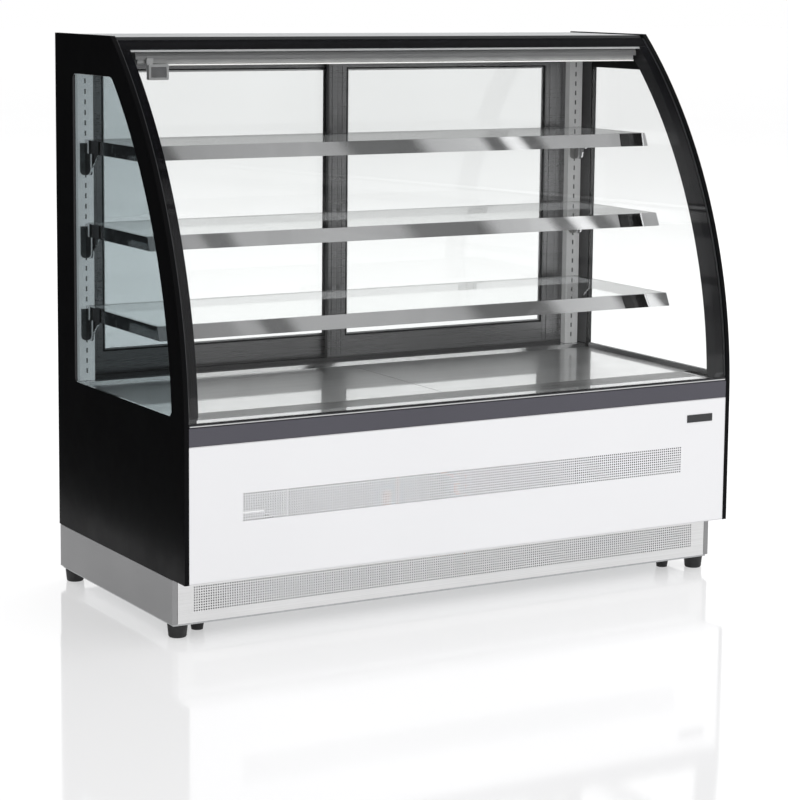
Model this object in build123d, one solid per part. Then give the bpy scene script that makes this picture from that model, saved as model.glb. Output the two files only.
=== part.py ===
from build123d import *
import math
import os

# Refrigerated display showcase with a curved front glass.
# Units are millimetres. +X is to the right seen from the front, the front faces -Y and +Z is up.
# The origin is on the floor, under the middle of the cabinet.

# ---------------------------------------------------------------- driving dimensions
WIDTH = 1500.0
DEPTH = 724.0
HEIGHT = 1343.0
SIDE_THICK = 11.0
SHEET = 1.5

FOOT_TOP = 29.0
BASE_Z = 30.0
PLINTH_Z = 35.0
PLINTH_TOP = 138.0
PLINTH_FRONT = -292.0
PLINTH_HALF = 748.5
BODY_Z = 140.0
BUMPER_Z = 451.5
BUMPER_TOP = 493.0
DECK_TOP = 498.0
DECK_FRONT = -214.0
ROOF_TOP = 1340.0
CEILING = 1305.0

# The curved front is an arc seen from the side. Its centre is behind the cabinet.
ARC_Y = 847.0
ARC_Z = 452.5
ARC_R = 1209.0
GLASS_R = 1206.0
GLASS_THICK = 6.0
GLASS_Z = 498.0
GLASS_TOP = 1333.0
ARCH_R = 1199.0
ARCH_DEPTH = 38.0
ARCH_WIDTH = 25.0
ARCH_LOW = 499.0
ARCH_FOOT_FRONT = -345.2
ARCH_FOOT_TOP = 509.0

WINDOW_REAR = 256.0
WINDOW_LOW = 510.0
WINDOW_TOP = 1250.0
WINDOW_R = 1143.0
PANE_GAP = 0.6

SHELF_TOPS = {"top": 1091.0, "middle": 891.0, "bottom": 691.0}
SHELF_FRONTS = {"top": -30.0, "middle": -88.0, "bottom": -140.0}
SHELF_HALF = 709.0
SHELF_RAIL = 32.0
SHELF_LEAN = 15.0
SHELF_REAR = 270.0
SHELF_GLASS = 6.0
BRACKET_DROP = 85.0
HOOK_THICK = 4.5

UPRIGHT_Y = 279.0
UPRIGHT_X = 703.0
UPRIGHT_WIDTH = 40.0
SLOT_PITCH = 25.0
SLOT_TALL = 12.0
SLOT_WIDE = 5.0

DOOR_THICK = 14.0
DOOR_LOW = 503.0
DOOR_TOP = 1280.0
DOOR_LEFT = (-698.0, 30.0)
DOOR_RIGHT = (-32.0, 698.0)
DOOR_LEFT_WINDOW = (-640.0, -25.0)
DOOR_RIGHT_WINDOW = (19.0, 624.0)
DOOR_WINDOW_LOW = 565.0
DOOR_WINDOW_TOP = 1254.0
DOOR_INNER_Y = 307.0
DOOR_OUTER_Y = 329.0

FOOT_X = 723.0
FOOT_FRONT = -265.0
FOOT_REAR = 330.0

INNER = WIDTH / 2 - SIDE_THICK
BACK = DEPTH / 2
REAR_SKIN = 357.0
TUB_Z = 335.0
TUB_TOP = 488.0

PIVOT_Y = -356.5
PIVOT_Z = 498.0
PIVOT_R = 3.0
RUNNING_GAP = 0.05

SHAFT_R = 3.0
EVAPORATOR_FAN_X = (-230.0, 230.0)
DRAIN_X = -350.0
DRAIN_Y = 200.0
SWITCH_X = (-535.0, -500.0)
BUTTON_X = {"set": -617.0, "up": -602.0, "down": -587.0}
CONDENSER_X = 230.0
CONDENSER_Z = 190.0
COMPRESSOR_X = 230.0
COMPRESSOR_Y = 110.0
GLAND_X = -660.0
GLAND_Z = 100.0

nodes = {}


# ---------------------------------------------------------------- shared shapes
def block(x0, x1, y0, y1, z0, z1):
    """A box between two corners."""
    place = Pos((x0 + x1) / 2, (y0 + y1) / 2, (z0 + z1) / 2)
    return place * Box(x1 - x0, y1 - y0, z1 - z0)


def arc_y(radius, z):
    """Depth of the curved front of this radius at height z."""
    return ARC_Y - math.sqrt(radius ** 2 - (z - ARC_Z) ** 2)


def arc_edge(radius, low, high, x):
    """Edge of the curved front from one height to another, in the plane of that x."""
    middle = (low + high) / 2
    start = (x, arc_y(radius, low), low)
    through = (x, arc_y(radius, middle), middle)
    end = (x, arc_y(radius, high), high)
    return ThreePointArc(start, through, end)


def prism_x(edges, x0, x1):
    """Push a closed outline, drawn in the plane x = x0, to x = x1."""
    return extrude(Face(Wire(edges)), amount=x1 - x0, dir=(1, 0, 0))


def polygon_x(points, x0, x1):
    """Prism along X from a list of (y, z) corners."""
    outline = Polyline([(x0, y, z) for y, z in points], close=True)
    return extrude(Face(Wire(outline.edges())), amount=x1 - x0, dir=(1, 0, 0))


def rod_x(radius, x0, x1, y, z):
    """Round bar along X."""
    return Pos((x0 + x1) / 2, y, z) * Rot(0, 90, 0) * Cylinder(radius, x1 - x0)


def rod_y(radius, x, y0, y1, z):
    """Round bar along Y."""
    return Pos(x, (y0 + y1) / 2, z) * Rot(90, 0, 0) * Cylinder(radius, y1 - y0)


def rod_z(radius, x, y, z0, z1):
    """Round bar along Z."""
    return Pos(x, y, (z0 + z1) / 2) * Cylinder(radius, z1 - z0)


def mirrored(shape):
    """The same shape on the other side of the middle plane."""
    return mirror(shape, about=Plane.YZ)


def join(parts):
    """Weld a list of shapes into one."""
    whole = parts[0]
    for part in parts[1:]:
        whole = whole + part
    return whole


def keep(name, shape):
    """Store a shape as a node. A list is stored as a group of separate solids."""
    nodes[name] = Compound(children=shape) if isinstance(shape, list) else shape


# ---------------------------------------------------------------- perforated sheets
def hole_grid(low_u, high_u, low_v, high_v, pitch):
    """Centres of an even grid of holes that fills a rectangle."""
    across = int((high_u - low_u) / pitch)
    along = int((high_v - low_v) / pitch)
    start_u = (low_u + high_u) / 2 - pitch * (across - 1) / 2
    start_v = (low_v + high_v) / 2 - pitch * (along - 1) / 2
    return [(start_u + i * pitch, start_v + j * pitch) for i in range(across) for j in range(along)]


def rectangle_wire(to_space, u, v, wide, tall):
    """Closed rectangle about (u, v), placed in space by to_space."""
    corners = [(-1, -1), (1, -1), (1, 1), (-1, 1)]
    points = [to_space(u + a * wide / 2, v + b * tall / 2) for a, b in corners]
    return Wire(Polyline(points, close=True).edges())


def pierced_sheet(to_space, outer, centres, wide, tall, direction, thick):
    """Flat sheet with rectangular holes. outer is (low u, high u, low v, high v)."""
    low_u, high_u, low_v, high_v = outer
    middle_u = (low_u + high_u) / 2
    middle_v = (low_v + high_v) / 2
    rim = rectangle_wire(to_space, middle_u, middle_v, high_u - low_u, high_v - low_v)
    holes = [rectangle_wire(to_space, u, v, wide, tall) for u, v in centres]
    return extrude(Face(rim, holes), amount=thick, dir=direction)


# ---------------------------------------------------------------- base, plinth and lower casing
def base_frame():
    """Folded base pan with foot bushes, corner posts, rails under the tub and tray runners."""
    wall = 2.0
    pan = block(-744, 744, -288, 355, BASE_Z, 55)
    parts = [pan - block(-742, 742, -286, 353, BASE_Z + wall, 60)]
    for side in (-1, 1):
        low = min(side * 680, side * 705)
        for front, rear in ((-285, -260), (322, 347)):
            parts.append(block(low, low + 25, front, rear, BASE_Z + wall, 333))
        parts.append(block(low, low + 25, -261, 323, 308, 333))
    for low in (-530, -185):
        parts.append(block(low, low + 12, 90, 350, BASE_Z + wall, 72))
    for x, y in foot_places():
        parts.append(rod_z(11, x, y, BASE_Z + wall / 2, 50))
    frame = join(parts)
    for x, y in foot_places():
        frame = frame - rod_z(5.5, x, y, BASE_Z - 5, 55)
    return frame


def foot_places():
    """Centres of the four levelling feet."""
    return [(side * FOOT_X, y) for side in (-1, 1) for y in (FOOT_FRONT, FOOT_REAR)]


def levelling_foot(x, y):
    """Tapered pad with a rounded lower edge on a threaded stem."""
    pad = Pos(x, y, FOOT_TOP / 2) * Cone(20.5, 23.5, FOOT_TOP)
    pad = fillet(pad.edges().sort_by(Axis.Z)[0], 4)
    nut = Pos(x, y, FOOT_TOP) * extrude(RegularPolygon(7.0, 6), amount=0.6)
    return pad + rod_z(5.0, x, y, FOOT_TOP - 1, 52) + nut


def support_feet():
    """Small tapered rests under the front edge of the base."""
    rests = []
    for side in (-1, 1):
        rests.append(Pos(side * 655, -225, BASE_Z / 2 - 0.1) * Cone(13.5, 18, BASE_Z - 0.2))
    return rests


def plinth_front():
    """Perforated kick plate."""
    def face(u, v):
        return (u, PLINTH_FRONT, v)
    centres = hole_grid(-694, 694, 59, 119, 12)
    half = PLINTH_HALF - 14
    return pierced_sheet(face, (-half, half, PLINTH_Z, PLINTH_TOP), centres, 6, 6, (0, 1, 0), SHEET)


def side_plinth():
    """Right side kick plate with a return round the front corner and the rear corner."""
    inside = PLINTH_HALF - SHEET
    wall = block(inside, PLINTH_HALF, PLINTH_FRONT, 360, PLINTH_Z, PLINTH_TOP)
    front = block(PLINTH_HALF - 13, PLINTH_HALF, PLINTH_FRONT, PLINTH_FRONT + SHEET, PLINTH_Z, PLINTH_TOP)
    rear = block(PLINTH_HALF - 8, PLINTH_HALF, 360 - SHEET, 360, PLINTH_Z, PLINTH_TOP)
    return wall + front + rear


def front_panel():
    """White lower front with a perforated band, folded back at the top and the bottom."""
    front = -361.0

    def face(u, v):
        return (u, front, v)
    half = INNER - 0.5
    centres = hole_grid(-605, 605, 273, 336, 12)
    sheet = pierced_sheet(face, (-half, half, BODY_Z, BUMPER_Z - 0.5), centres, 6, 6, (0, 1, 0), SHEET)
    low = block(-half, half, front, PLINTH_FRONT - 0.5, BODY_Z, BODY_Z + SHEET)
    high = block(-half, half, front, front + 22, BUMPER_Z - 0.5 - SHEET, BUMPER_Z - 0.5)
    return sheet + low + high


def rear_panel():
    """Rear sheet with openings for the grille, the tray, the controller and the switches."""
    half = INNER - 1
    sheet = block(-half, half, REAR_SKIN, REAR_SKIN + SHEET, 57, 486)
    sheet = sheet - block(-120, 620, 350, 365, 80, 320)
    sheet = sheet - block(-514, -186, 350, 365, 66, 118)
    sheet = sheet - block(-638, -566, 350, 365, 405.5, 436.5)
    sheet = sheet - rod_y(11.3, GLAND_X, 350, 365, GLAND_Z)
    for x in SWITCH_X:
        sheet = sheet - block(x - 10.5, x + 10.5, 350, 365, 406, 436)
    return sheet + block(-half, half, 345, REAR_SKIN + SHEET, 486 - SHEET, 486)


def rear_grille():
    """Louvred lift-off grille over the condenser outlet."""
    y0 = REAR_SKIN - 3
    frame = block(-118, 618, y0, REAR_SKIN + SHEET, 82, 318)
    frame = frame - block(-104, 604, y0 - 5, 365, 96, 304)
    parts = [frame]
    for step in range(13):
        z = 104 + step * 16
        slat = Pos(250, REAR_SKIN - 0.75, z) * Rot(35, 0, 0) * Box(712, 1.5, 11)
        parts.append(slat & block(-118, 618, y0, REAR_SKIN + SHEET, 82, 318))
    for x in (132, 368):
        parts.append(block(x - 2, x + 2, y0, y0 + 1.5, 96, 304))
    return join(parts)


def screws():
    """Rear panel screws, with a cross-drive slot."""
    group = []
    places = [(x, z) for x in (-700, -230, 700) for z in (150, 345, 470)]
    for x, z in places:
        head = rod_y(4.2, x, REAR_SKIN + SHEET + 0.05, REAR_SKIN + SHEET + 1.8, z)
        head = head - block(x - 2.4, x + 2.4, REAR_SKIN + 2.6, 365, z - 0.5, z + 0.5)
        head = head - block(x - 0.5, x + 0.5, REAR_SKIN + 2.6, 365, z - 2.4, z + 2.4)
        group.append(head)
    return group


def badge_plate():
    """Small blank plate at the right of the white front."""
    plate = block(621, 698, -362, -361, 395.5, 414.5)
    return fillet(plate.edges().filter_by(Axis.Y), 1.5)


def bumper_rail():
    """Hollow extruded rail under the front glass, open to the rear."""
    half = INNER - 0.5
    rail = block(-half, half, -361, -337, BUMPER_Z, BUMPER_TOP)
    rail = rail - block(-half - 5, half + 5, -358, -330, BUMPER_Z + 3, BUMPER_TOP - 3)
    return chamfer(rail.edges().filter_by(Axis.X).sort_by(Axis.Y)[0:2], 1.2)


def glass_seal():
    """Black gasket strip behind the foot of the glass, with a rounded top."""
    half = INNER - 1
    seal = block(-half, half, -344.8, -337.4, BUMPER_TOP + 0.1, BUMPER_TOP + 6)
    return fillet(seal.edges().filter_by(Axis.X).sort_by(Axis.Z)[-2:], 2.5)


# ---------------------------------------------------------------- sides, front arch, roof
def window_prism(inset, x0, x1):
    """Solid of the side window opening."""
    low = WINDOW_LOW + inset
    high = WINDOW_TOP - inset
    rear = WINDOW_REAR - inset
    radius = WINDOW_R - inset
    edges = [
        arc_edge(radius, low, high, x0),
        Line((x0, arc_y(radius, high), high), (x0, rear, high)),
        Line((x0, rear, high), (x0, rear, low)),
        Line((x0, rear, low), (x0, arc_y(radius, low), low)),
    ]
    solid = prism_x(edges, x0, x1)
    return fillet(solid.edges().filter_by(Axis.X), 14 - inset)


def side_panel():
    """Right side: curved front edge, window, and a blind bore for the glass pivot."""
    x0 = INNER
    front = arc_y(ARC_R, ARC_Z)
    edges = [
        Line((x0, front, BODY_Z), (x0, front, ARC_Z)),
        arc_edge(ARC_R, ARC_Z, HEIGHT, x0),
        Line((x0, arc_y(ARC_R, HEIGHT), HEIGHT), (x0, BACK, HEIGHT)),
        Line((x0, BACK, HEIGHT), (x0, BACK, BODY_Z)),
        Line((x0, BACK, BODY_Z), (x0, front, BODY_Z)),
    ]
    panel = prism_x(edges, x0, WIDTH / 2)
    panel = panel - window_prism(0, x0 - 5, WIDTH / 2 + 5)
    return panel - rod_x(PIVOT_R + RUNNING_GAP, x0 - 1, x0 + 6, PIVOT_Y, PIVOT_Z)


def side_glass():
    """Right side pane."""
    return window_prism(PANE_GAP, INNER + 1.5, WIDTH / 2 - 1)


def arch_frame():
    """Right curved profile that the edge of the front glass closes on, notched for the hinge profile."""
    x1 = INNER - 1
    x0 = x1 - ARCH_WIDTH
    low = ARCH_LOW
    high = CEILING - 2
    inner = ARCH_R - ARCH_DEPTH
    edges = [
        arc_edge(ARCH_R, low, high, x0),
        Line((x0, arc_y(ARCH_R, high), high), (x0, arc_y(inner, high), high)),
        arc_edge(inner, low, high, x0),
        Line((x0, arc_y(inner, low), low), (x0, arc_y(ARCH_R, low), low)),
    ]
    arch = prism_x(edges, x0, x1)
    return arch - block(x0 - 1, x1 + 1, ARCH_FOOT_FRONT - 20, ARCH_FOOT_FRONT, low - 1, ARCH_FOOT_TOP)


def front_glass():
    """Curved pane."""
    half = INNER - 2
    inner = GLASS_R - GLASS_THICK
    edges = [
        arc_edge(GLASS_R, GLASS_Z, GLASS_TOP, -half),
        Line((-half, arc_y(GLASS_R, GLASS_TOP), GLASS_TOP), (-half, arc_y(inner, GLASS_TOP), GLASS_TOP)),
        arc_edge(inner, GLASS_Z, GLASS_TOP, -half),
        Line((-half, arc_y(inner, GLASS_Z), GLASS_Z), (-half, arc_y(GLASS_R, GLASS_Z), GLASS_Z)),
    ]
    return prism_x(edges, -half, half)


def glass_hinge_profile():
    """Channel that grips the foot of the glass and turns on a pin at each end."""
    half = INNER - 2
    profile = block(-half, half, -360, -346, 494.5, 502)
    profile = fillet(profile.edges().filter_by(Axis.X).sort_by(Axis.Y)[0:2], 3.4)
    parts = [profile]
    for side in (-1, 1):
        low = min(side * (half - 30), side * (half + 6.5))
        parts.append(rod_x(PIVOT_R, low, low + 36.5, PIVOT_Y, PIVOT_Z))
    return join(parts) - block(-half, half, -358.7, -351.6, GLASS_Z - 0.3, 510)


def roof_panel():
    """Insulated top with a bevelled front edge."""
    half = INNER - 0.5
    section = [
        (36, 1331), (36, 1334), (42, ROOF_TOP), (BACK - 2, ROOF_TOP),
        (BACK - 2, CEILING), (48, CEILING), (48, 1331),
    ]
    return polygon_x(section, -half, half)


def header_profile():
    """Extruded head behind the upper edge of the front glass."""
    x0 = -(INNER - 1)
    low = CEILING
    high = 1330.0
    edges = [
        arc_edge(ARCH_R, low, high, x0),
        Line((x0, arc_y(ARCH_R, high), high), (x0, 47, high)),
        Line((x0, 47, high), (x0, 47, low)),
        Line((x0, 47, low), (x0, arc_y(ARCH_R, low), low)),
    ]
    return prism_x(edges, x0, -x0)


def lamp_housing():
    """Slim channel under the head that holds the lamp."""
    return polygon_x([(8, 1304.8), (46, 1304.8), (46, 1288), (4, 1288), (4, 1296)], -700, 700)


def lamp_diffuser():
    """Opal cover of the lamp, with a rounded underside."""
    cover = block(-694, 694, 8, 42, 1276, 1287.8)
    return fillet(cover.edges().filter_by(Axis.X).sort_by(Axis.Z)[0:2], 5)


def thermometer():
    """Small boxed temperature display that hangs from the lamp channel."""
    case = block(-674, -624, -12, 1, 1241.5, 1277)
    case = fillet(case.edges().filter_by(Axis.Y), 3)
    case = case - block(-668.5, -629.5, -15, -10.5, 1247, 1271.5)
    return case + block(-674, -658, 0, 3.6, 1262, 1291)


# ---------------------------------------------------------------- display interior
def upright():
    """Right slotted upright."""
    low = UPRIGHT_X - UPRIGHT_WIDTH / 2
    high = UPRIGHT_X + UPRIGHT_WIDTH / 2
    bottom = 506.0
    top = CEILING - 1
    count = int((top - bottom - 30) / SLOT_PITCH)

    def face(u, v):
        return (u, UPRIGHT_Y, v)
    centres = [(UPRIGHT_X, bottom + 24 + i * SLOT_PITCH) for i in range(count)]
    strip = pierced_sheet(face, (low, high, bottom, top), centres, SLOT_WIDE, SLOT_TALL, (0, 1, 0), 2)
    inner = block(low, low + 2, UPRIGHT_Y, 299, bottom, top)
    outer = block(high - 2, high, UPRIGHT_Y, 299, bottom, top)
    return strip + inner + outer


def shelf_frame(level):
    """Bright frame with a leaning front rail, ledges for the glass and hook plates."""
    top = SHELF_TOPS[level]
    front = SHELF_FRONTS[level]
    low = top - SHELF_RAIL
    sheet = 2.0
    rail = [(front, top), (front - SHELF_LEAN, low), (front - SHELF_LEAN + sheet, low), (front + sheet, top)]
    parts = [polygon_x(rail, -SHELF_HALF, SHELF_HALF)]
    side = [(front, top), (front - SHELF_LEAN, low), (SHELF_REAR, low), (SHELF_REAR, top)]
    ledge_top = top - SHELF_GLASS - 0.1
    for sign in (-1, 1):
        x0 = min(sign * SHELF_HALF, sign * (SHELF_HALF - sheet))
        parts.append(polygon_x(side, x0, x0 + sheet))
        x0 = min(sign * SHELF_HALF, sign * (SHELF_HALF - 16))
        parts.append(block(x0, x0 + 16, front - 1, SHELF_REAR, ledge_top - sheet, ledge_top))
        parts.append(hook_plate(sign * UPRIGHT_X - HOOK_THICK / 2, top, low))
    edge = SHELF_HALF - 0.5
    parts.append(block(-edge, edge, front - 2, front + 16, ledge_top - sheet, ledge_top))
    parts.append(block(-edge, edge, SHELF_REAR - sheet, SHELF_REAR, low + 6, top))
    parts.append(block(-edge, edge, SHELF_REAR - 16, SHELF_REAR, ledge_top - sheet, ledge_top))
    return join(parts)


def hook_plate(x0, top, low):
    """Bracket plate at the rear corner of a shelf, hung in front of the upright."""
    bottom = top - BRACKET_DROP
    under_glass = top - SHELF_GLASS - 1
    outline = [
        (196, low + 2), (240, low - 34), (244, bottom), (UPRIGHT_Y - 0.4, bottom),
        (UPRIGHT_Y - 0.4, under_glass), (196, under_glass),
    ]
    plate = polygon_x(outline, x0, x0 + HOOK_THICK)
    corners = plate.edges().filter_by(Axis.X).group_by(Axis.Z)[0]
    return fillet(corners, 12)


def shelf_glass(level):
    """Loose pane that lies on the ledges of its frame."""
    top = SHELF_TOPS[level]
    front = SHELF_FRONTS[level]
    half = SHELF_HALF - 2.6
    return block(-half, half, front + 5, SHELF_REAR - 2.6, top - SHELF_GLASS, top)


def insulated_tub():
    """Foamed well under the deck, with a bevelled rear sill, a front lip and a drain hole."""
    half = INNER - 1
    tub = block(-half, half, -336, 296, TUB_Z, TUB_TOP)
    tub = tub - block(-700, 700, -300, 244, 375, TUB_TOP + 5)
    sill = [(246, TUB_TOP - 1), (246, 497), (262, 505), (296, 505), (296, TUB_TOP - 1)]
    lip = [(-336, TUB_TOP - 1), (-336, 496), (-334, DECK_TOP), (-330, DECK_TOP), (-330, TUB_TOP - 1)]
    tub = tub + polygon_x(sill, -half, half) + polygon_x(lip, -half, half)
    return tub - rod_z(10, DRAIN_X, DRAIN_Y, TUB_Z - 5, 380)


def deck_plate():
    """Right deck plate with folded edges, lifted out to reach the evaporator."""
    x0 = 1.0
    x1 = INNER - 2
    plate = block(x0, x1, DECK_FRONT, 244, TUB_TOP + 0.4, DECK_TOP)
    hollow = block(x0 + SHEET, x1 - SHEET, DECK_FRONT + SHEET, 244 - SHEET, 480, DECK_TOP - SHEET)
    return plate - hollow


def air_grille():
    """Perforated strip over the return air slot, in front of the deck."""
    half = 712.0
    front_y = -329.0
    rear_y = DECK_FRONT - 1.5

    def face(u, v):
        return (u, v, DECK_TOP - SHEET)
    centres = hole_grid(-704, 704, -296, -220, 18)
    sheet = pierced_sheet(face, (-half, half, front_y, rear_y), centres, 10, 10, (0, 0, 1), SHEET)
    front = block(-half, half, front_y, front_y + SHEET, TUB_TOP + 0.2, DECK_TOP)
    rear = block(-half, half, rear_y - SHEET, rear_y, TUB_TOP + 0.2, DECK_TOP)
    return sheet + front + rear


def evaporator_coil():
    """Finned block with return bends at both ends."""
    parts = [block(-480, 480, -40, 60, 384, 464)]
    for side in (-1, 1):
        x0 = min(side * 480, side * 484)
        parts.append(block(x0, x0 + 4, -44, 64, 378, 468))
        for y in (-20, 20, 48):
            for z in (404, 444):
                parts.append(rod_x(5, min(side * 483, side * 500), max(side * 483, side * 500), y, z))
        for z in (404, 444):
            x0 = min(side * 496, side * 504)
            parts.append(block(x0, x0 + 8, -24, 52, z - 4, z + 4))
    return join(parts)


def propeller(x, y, z, radius, hub, width, blades, bore):
    """Axial fan on an axis along Y."""
    parts = [rod_y(hub, x, y - width / 2, y + width / 2, z)]
    length = radius - hub + 3
    for index in range(blades):
        turn = 360.0 * index / blades
        blade = Pos(hub - 3 + length / 2, 0, 0) * Rot(32, 0, 0) * Box(length, width * 1.05, 1.6)
        parts.append(Pos(x, y, z) * Rot(0, turn, 0) * blade)
    fan = join(parts) & rod_y(radius, x, y - width / 2, y + width / 2, z)
    return fan - rod_y(bore, x, y - width, y + width, z)


def fan_motor(x, z, shaft_y0, face_y, back_y, radius, spread):
    """Motor body with its shaft and three arms that reach out to a plate."""
    parts = [rod_y(radius, x, face_y, back_y, z), rod_y(SHAFT_R, x, shaft_y0, face_y + 1, z)]
    for turn in (90, 210, 330):
        arm = Pos(spread / 2 + radius / 2, 0, 0) * Box(spread - radius + 4, 3, 8)
        parts.append(Pos(x, face_y + 4, z) * Rot(0, turn, 0) * arm)
    return join(parts)


def evaporator_fan_panel():
    """Plate across the tub with two fan rings and the fan motors behind it."""
    panel = block(-697, 697, 100, 102, 376, 487)
    for x in EVAPORATOR_FAN_X:
        panel = panel - rod_y(46, x, 90, 110, 431)
    parts = [panel]
    for x in EVAPORATOR_FAN_X:
        ring = rod_y(48, x, 100, 128, 431) - rod_y(45, x, 90, 135, 431)
        parts.append(ring)
        parts.append(fan_motor(x, 431, 104, 120, 150, 20, 46))
    return join(parts)


# ---------------------------------------------------------------- rear sliding doors
def door_surround():
    """Welded rear surround: double track above and below, and a jamb at each side."""
    half = INNER - 1
    y0 = 300.0
    y1 = 350.0
    frame = block(-half, half, y0, y1, TUB_TOP + 1, CEILING - 1)
    frame = frame - block(-702, 702, y0 - 5, y1 + 5, 512, 1268)
    for track in (DOOR_INNER_Y, DOOR_OUTER_Y):
        frame = frame - block(-702, 702, track - 1, track + DOOR_THICK + 1, 501, 515)
        frame = frame - block(-702, 702, track - 1, track + DOOR_THICK + 1, 1260, 1292)
    return frame


def door_frame(edges, window, y0):
    """Door frame with its window cut out."""
    frame = block(edges[0], edges[1], y0, y0 + DOOR_THICK, DOOR_LOW, DOOR_TOP)
    return frame - block(window[0], window[1], y0 - 5, y0 + 25, DOOR_WINDOW_LOW, DOOR_WINDOW_TOP)


def door_glass(window, y0):
    """Double pane of a door."""
    gap = 0.4
    left = window[0] + gap
    right = window[1] - gap
    return block(left, right, y0 + 2, y0 + DOOR_THICK - 2, DOOR_WINDOW_LOW + gap, DOOR_WINDOW_TOP - gap)


def door_left_frame():
    """Left door, on the outer track, with a raised pull."""
    frame = door_frame(DOOR_LEFT, DOOR_LEFT_WINDOW, DOOR_OUTER_Y)
    pull = block(-690, -668, DOOR_OUTER_Y + DOOR_THICK - 1, DOOR_OUTER_Y + DOOR_THICK + 12, 820, 980)
    finger = block(-686, -660, DOOR_OUTER_Y + DOOR_THICK, DOOR_OUTER_Y + DOOR_THICK + 9, 824, 976)
    return frame + (pull - finger)


def door_right_frame():
    """Right door, on the inner track, with a flush pull."""
    frame = door_frame(DOOR_RIGHT, DOOR_RIGHT_WINDOW, DOOR_INNER_Y)
    return frame - block(664, 690, DOOR_INNER_Y + DOOR_THICK - 8, 340, 820, 980)


# ---------------------------------------------------------------- machine space
def compressor():
    """Welded hermetic shell on a foot plate, with suction and discharge stubs."""
    shell = rod_z(78, COMPRESSOR_X, COMPRESSOR_Y, 66, 246)
    shell = fillet(shell.edges().filter_by(GeomType.CIRCLE), 34)
    seam = rod_z(81, COMPRESSOR_X, COMPRESSOR_Y, 150, 158)
    legs = block(COMPRESSOR_X - 95, COMPRESSOR_X + 95, COMPRESSOR_Y - 80, COMPRESSOR_Y - 50, 60, 66.5)
    legs = legs + block(COMPRESSOR_X - 95, COMPRESSOR_X + 95, COMPRESSOR_Y + 50, COMPRESSOR_Y + 80, 60, 66.5)
    plate = block(COMPRESSOR_X - 40, COMPRESSOR_X + 40, COMPRESSOR_Y - 60, COMPRESSOR_Y + 60, 60, 70)
    terminals = block(COMPRESSOR_X + 70, COMPRESSOR_X + 104, COMPRESSOR_Y - 28, COMPRESSOR_Y + 28, 120, 190)
    return join([shell, seam, legs, plate, terminals])


def compressor_mounts():
    """Rubber grommets between the compressor feet and the base pan."""
    group = []
    for dx in (-80, 80):
        for dy in (-65, 65):
            x = COMPRESSOR_X + dx
            y = COMPRESSOR_Y + dy
            group.append(rod_z(12, x, y, 32.2, 45) + rod_z(9, x, y, 45, 52) + rod_z(12, x, y, 52, 59.8))
    return group


def condenser_coil():
    """Finned condenser between two end plates."""
    x0 = CONDENSER_X - 150
    x1 = CONDENSER_X + 150
    parts = [block(x0, x1, -216, -160, 72, 308)]
    for edge in (x0 - 3, x1):
        parts.append(block(edge, edge + 3, -222, -154, 57, 312))
    for z in range(92, 300, 24):
        parts.append(rod_x(5, x1 + 2, x1 + 16, -204, z))
        parts.append(rod_x(5, x0 - 16, x0 - 2, -172, z))
    return join(parts)


def condenser_shroud():
    """Sheet cowl behind the condenser, with the fan ring and the fan motor on three arms."""
    x0 = CONDENSER_X - 152
    x1 = CONDENSER_X + 152
    cowl = block(x0, x1, -153.5, -120, 74, 306) - block(x0 + 2, x1 - 2, -160, -122, 76, 304)
    cowl = cowl - rod_y(104, CONDENSER_X, -130, -110, CONDENSER_Z)
    ring = rod_y(106, CONDENSER_X, -122, -96, CONDENSER_Z) - rod_y(103, CONDENSER_X, -130, -90, CONDENSER_Z)
    motor = fan_motor(CONDENSER_X, CONDENSER_Z, -132, -104, -62, 30, 105)
    return join([cowl, ring, motor])


def pipe(points, bends, radius):
    """Round pipe with tangent bends."""
    path = FilletPolyline(*points, radius=bends)
    start = Plane(origin=path @ 0, z_dir=path % 0)
    return sweep(start * Circle(radius), path=Wire(path.edges()))


def refrigerant_pipes():
    """Discharge, liquid and suction lines."""
    top = COMPRESSOR_X - 30
    discharge = [(top, 60, 250), (top, 60, 280), (top, -20, 280), (60, -20, 280), (60, -172, 280)]
    liquid = [(40, -190, 92), (-20, -190, 92), (-20, -40, 92), (-20, -40, 300), (-20, 30, 300), (-20, 30, 333)]
    suction = [(top + 60, 150, 250), (top + 60, 150, 290), (top + 60, 30, 290), (60, 30, 290), (60, 30, 333)]
    return [pipe(discharge, 14, 4), pipe(liquid, 14, 3.5), pipe(suction, 14, 6)]


def filter_drier():
    """Copper filter drier beside the liquid line."""
    body = rod_z(13, -50, -40, 130, 230)
    body = fillet(body.edges().filter_by(GeomType.CIRCLE), 9)
    clip = block(-50, -24.2, -44, -36, 176, 184)
    return body + clip


def electrical_box():
    """Junction box for the supply, the fans, the lamp and the compressor."""
    case = block(-660, -560, 230, 340, 150, 300)
    case = fillet(case.edges().filter_by(Axis.Z), 4)
    lid = block(-664, -656, 226, 344, 146, 304)
    return case + lid + block(-664, -556, 236, 334, BASE_Z + 2.2, 151)


def cable_gland():
    """Supply cable gland in the rear sheet. It is empty."""
    body = rod_y(11, GLAND_X, 340, 361, GLAND_Z)
    for front in (356.8, 361.0):
        nut = extrude(RegularPolygon(15, 6), amount=2.4)
        body = body + Pos(GLAND_X, front, GLAND_Z) * Rot(90, 0, 0) * nut
    return body - rod_y(5, GLAND_X, 330, 370, GLAND_Z)


def controller():
    """Panel controller with a display window and three button holes."""
    body = block(-637.5, -566.5, 325, REAR_SKIN + 1, 406, 436)
    bezel = block(-640, -564, REAR_SKIN + SHEET + 0.1, 360.2, 403.5, 438.5)
    neck = block(-637.5, -566.5, REAR_SKIN, 359, 406, 436)
    case = body + bezel + neck
    case = case - block(-632, -572, 359.4, 365, 420, 433)
    for x in BUTTON_X.values():
        case = case - block(x - 4.9, x + 4.9, 355, 365, 407.9, 415.1)
    return case


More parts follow.
